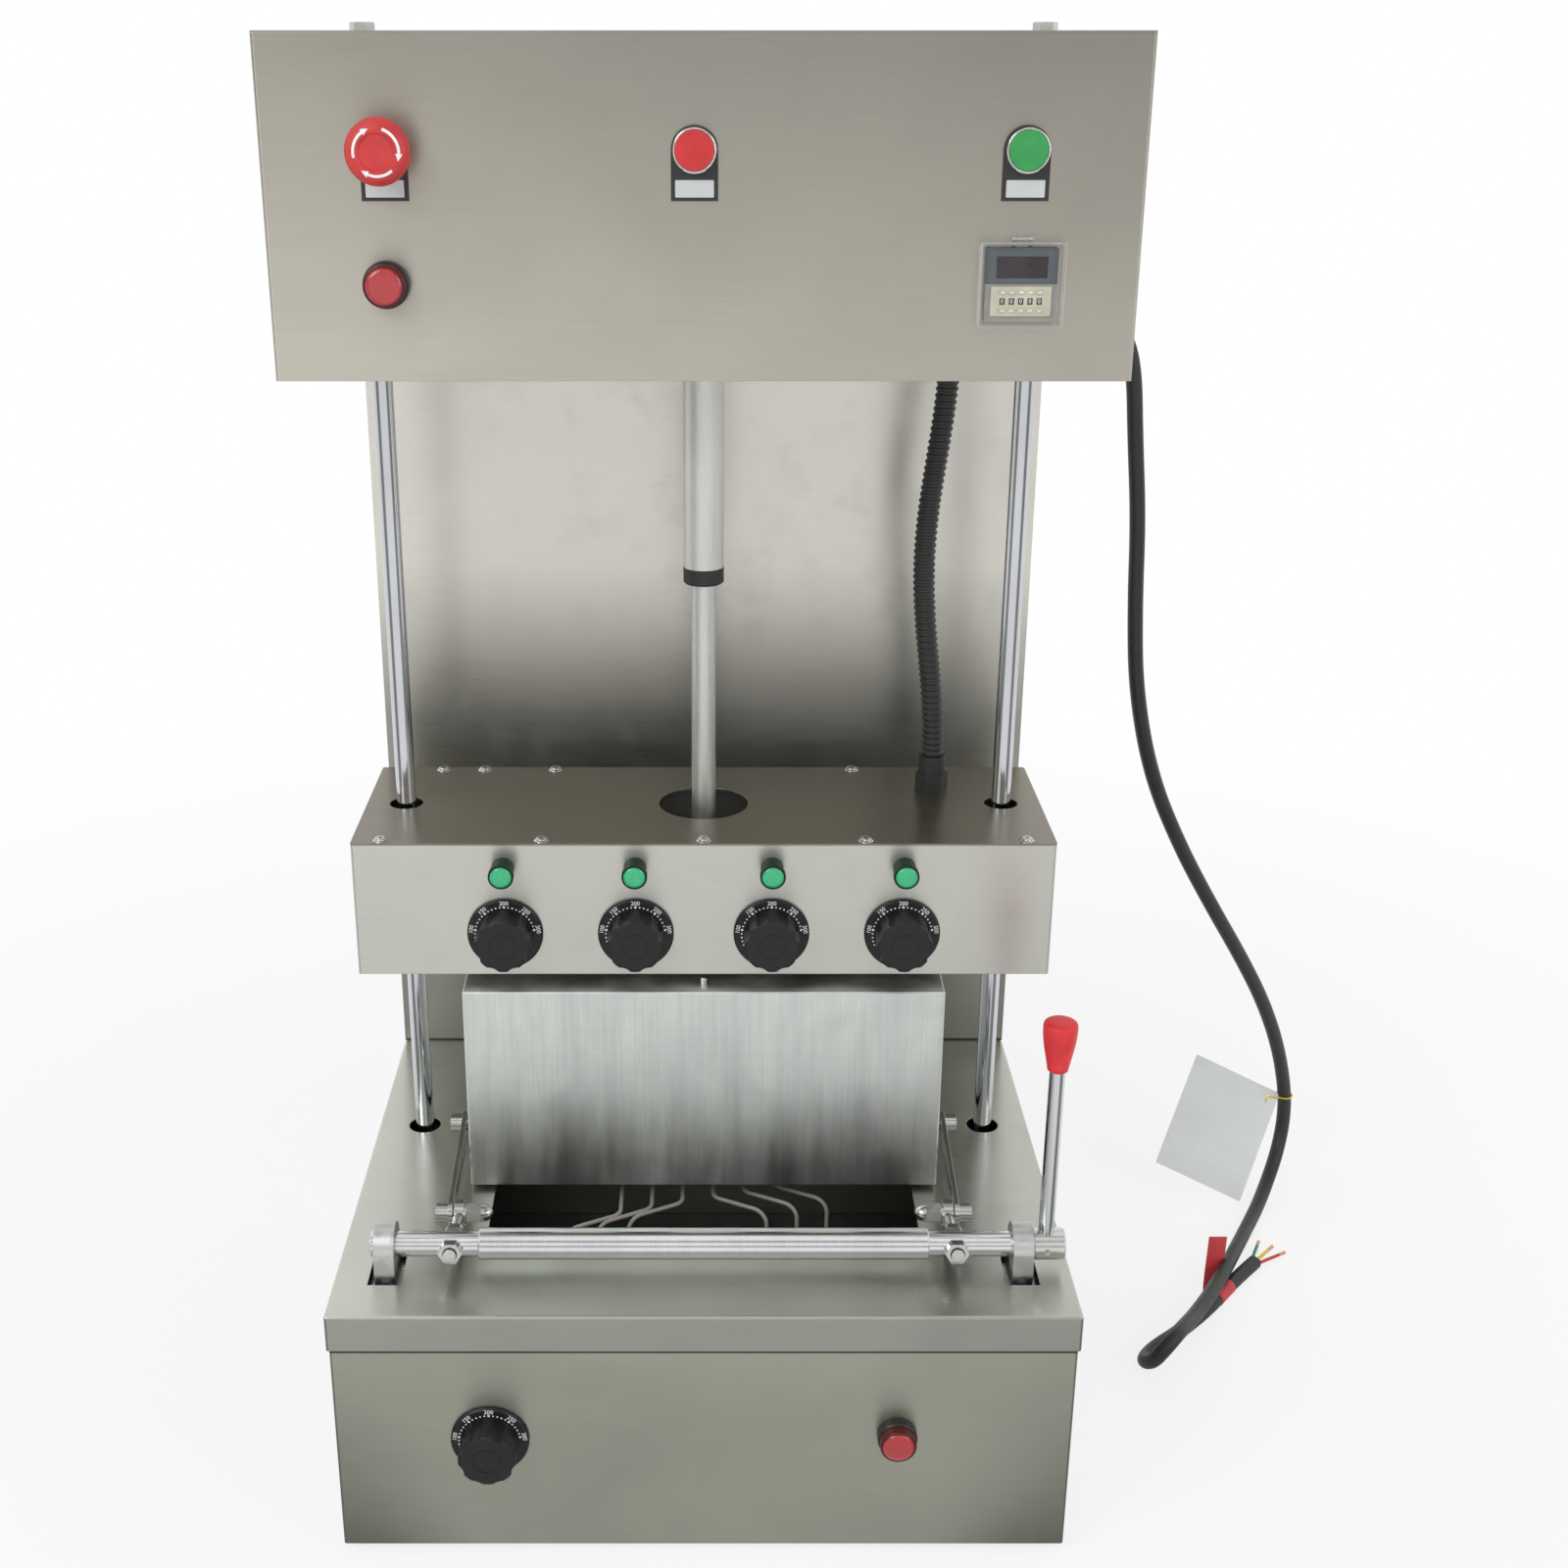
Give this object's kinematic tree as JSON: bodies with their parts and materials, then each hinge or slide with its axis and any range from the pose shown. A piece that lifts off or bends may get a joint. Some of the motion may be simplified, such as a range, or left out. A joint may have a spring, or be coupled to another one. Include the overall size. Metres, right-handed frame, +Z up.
{
  "type": "pizza cone forming press",
  "caption": "Countertop press that shapes and bakes dough into cones: a motor-driven carriage of heated cones drops into a split mould opened by a hand lever.",
  "frame": {"origin": "on the bench, under the middle of the press without its cord: halfway between the base dial's front and the rear cover's screws", "axes": "+Z up, -Y towards the operator and the control panels, +X to the operator's right"},
  "size_m": [0.9116, 0.6034, 1.1464],
  "materials": {
    "stainless_brushed": "brushed, horizontal grain",
    "stainless_bright": "bright, fine grain",
    "galvanised": "mill finish",
    "chrome": "polished",
    "zinc_steel": "zinc plated",
    "machined_steel": "turned",
    "mould_aluminium": "milled, cloudy",
    "cast_aluminium": "cast",
    "rubber_black": "matt",
    "cord_rubber": "satin",
    "core_mixed": "satin",
    "lead_sleeve": "woven",
    "knob_black": "semi-gloss",
    "knob_red": "gloss",
    "button_red": "gloss",
    "button_green": "gloss",
    "lens_red": "translucent",
    "lens_green": "translucent",
    "holder_black": "satin",
    "legend_black": "satin",
    "timer_grey": "satin",
    "switch_beige": "satin",
    "clear_plastic": "clear",
    "stem_grey": "satin",
    "seal_black": "satin",
    "thermostat_body": "moulded",
    "conduit_grey": "satin"
  },
  "bodies": {
    "frame": {"base_shell": "stainless_brushed", "base_cover": "stainless_brushed", "base_floor": "galvanised", "rubber_feet": "rubber_black", "inner_frame": "machined_steel", "back_panel": "stainless_bright", "rear_cover": "stainless_brushed", "head_shell": "stainless_brushed", "head_floor": "stainless_brushed", "head_beam": "machined_steel", "guide_rods": "chrome", "frame_fasteners": "zinc_steel", "actuator_housing": "cast_aluminium", "actuator_tube": "stainless_bright", "wiper_ring": "seal_black", "crank_brackets": "machined_steel", "mould_rear": "mould_aluminium", "mould_guide_pins": "chrome", "heater_leads": "lead_sleeve", "base_thermostat": "thermostat_body", "pilot_holders": "holder_black", "pilot_lenses": "lens_red", "legend_plates": "legend_black", "panel_bezels": "chrome", "timer_body": "timer_grey", "timer_switches": "switch_beige", "power_supply": "galvanised", "cable_glands": "holder_black", "power_cord": "cord_rubber", "cord_cores": "core_mixed"},
    "carriage": {"carriage_shell": "stainless_brushed", "carriage_lid": "stainless_brushed", "carriage_beam": "machined_steel", "carriage_bearings": "machined_steel", "cone_punches": "mould_aluminium", "actuator_rod": "chrome", "carriage_fasteners": "zinc_steel", "carriage_thermostats": "thermostat_body", "green_lamps": "lens_green", "conduit_gland": "holder_black", "conduit": "conduit_grey"},
    "lever": {"crank_shaft": "machined_steel", "lever_hub": "machined_steel", "lever_rod": "chrome", "lever_knob": "knob_red", "eye_bolts": "zinc_steel"},
    "mould_front_half": {"mould_front": "mould_aluminium", "mould_studs": "zinc_steel"},
    "left_link": {"link_left": "stainless_bright"},
    "right_link": {"link_right": "stainless_bright"},
    "estop_slide": {"estop_stem": "stem_grey"},
    "estop_mushroom": {"estop_button": "knob_red"},
    "rise": {"rise_button": "button_red"},
    "down": {"down_button": "button_green"},
    "timer_window": {"timer_cover": "clear_plastic"},
    "base_dial": {"base_knob": "knob_black"},
    "dial_1": {"dial_knob_1": "knob_black"},
    "dial_2": {"dial_knob_2": "knob_black"},
    "dial_3": {"dial_knob_3": "knob_black"},
    "dial_4": {"dial_knob_4": "knob_black"}
  },
  "joints": [
    {"name": "carriage_lift", "type": "slide", "parent": "frame", "child": "carriage", "axis": [0, 0, 1], "range_m": [0, 0.2], "deforming": ["conduit"]},
    {"name": "lever_turn", "type": "hinge", "parent": "frame", "child": "lever", "pos_m": [0, -0.1625, 0.2495], "axis": [1, 0, 0], "range_deg": [0, 90]},
    {"name": "mould_slide", "type": "slide", "parent": "frame", "child": "mould_front_half", "axis": [0, -1, 0], "range_m": [0, 0.0528]},
    {"name": "left_link_turn", "type": "hinge", "parent": "mould_front_half", "child": "left_link", "pos_m": [-0.2053, 0.004, 0.262], "axis": [1, 0, 0], "range_deg": [-29.3, 0]},
    {"name": "right_link_turn", "type": "hinge", "parent": "mould_front_half", "child": "right_link", "pos_m": [0.2053, 0.004, 0.262], "axis": [1, 0, 0], "range_deg": [-29.3, 0]},
    {"name": "estop_push", "type": "slide", "parent": "frame", "child": "estop_slide", "axis": [0, 1, 0], "range_m": [0, 0.005], "stiffness_N_per_m": 900, "springref_m": -0.001},
    {"name": "estop_twist", "type": "hinge", "parent": "estop_slide", "child": "estop_mushroom", "pos_m": [-0.21, -0.155, 1.067], "axis": [0, 1, 0], "range_deg": [0, 40], "stiffness_Nm_per_rad": 0.05, "springref_deg": -2.86},
    {"name": "rise_push", "type": "slide", "parent": "frame", "child": "rise", "axis": [0, 1, 0], "range_m": [0, 0.0035], "stiffness_N_per_m": 600, "springref_m": -0.001},
    {"name": "down_push", "type": "slide", "parent": "frame", "child": "down", "axis": [0, 1, 0], "range_m": [0, 0.0035], "stiffness_N_per_m": 600, "springref_m": -0.001},
    {"name": "timer_window_turn", "type": "hinge", "parent": "frame", "child": "timer_window", "pos_m": [0.212, -0.132, 1.0107], "axis": [1, 0, 0], "range_deg": [-110, 0]},
    {"name": "base_dial_turn", "type": "hinge", "parent": "frame", "child": "base_dial", "pos_m": [-0.167, -0.2261, 0.113], "axis": [0, 1, 0], "range_deg": [-90, 180]},
    {"name": "dial_1_turn", "type": "hinge", "parent": "carriage", "child": "dial_1", "pos_m": [-0.161, -0.031, 0.458], "axis": [0, 1, 0], "range_deg": [-90, 180]},
    {"name": "dial_2_turn", "type": "hinge", "parent": "carriage", "child": "dial_2", "pos_m": [-0.055, -0.031, 0.458], "axis": [0, 1, 0], "range_deg": [-90, 180]},
    {"name": "dial_3_turn", "type": "hinge", "parent": "carriage", "child": "dial_3", "pos_m": [0.055, -0.031, 0.458], "axis": [0, 1, 0], "range_deg": [-90, 180]},
    {"name": "dial_4_turn", "type": "hinge", "parent": "carriage", "child": "dial_4", "pos_m": [0.161, -0.031, 0.458], "axis": [0, 1, 0], "range_deg": [-90, 180]}
  ],
  "couplings": [
    {"joint": "mould_slide", "follows": "lever_turn", "m_per_rad": 0.033572},
    {"joint": "left_link_turn", "follows": "lever_turn", "ratio": -0.32521},
    {"joint": "right_link_turn", "follows": "lever_turn", "ratio": -0.32521}
  ]
}
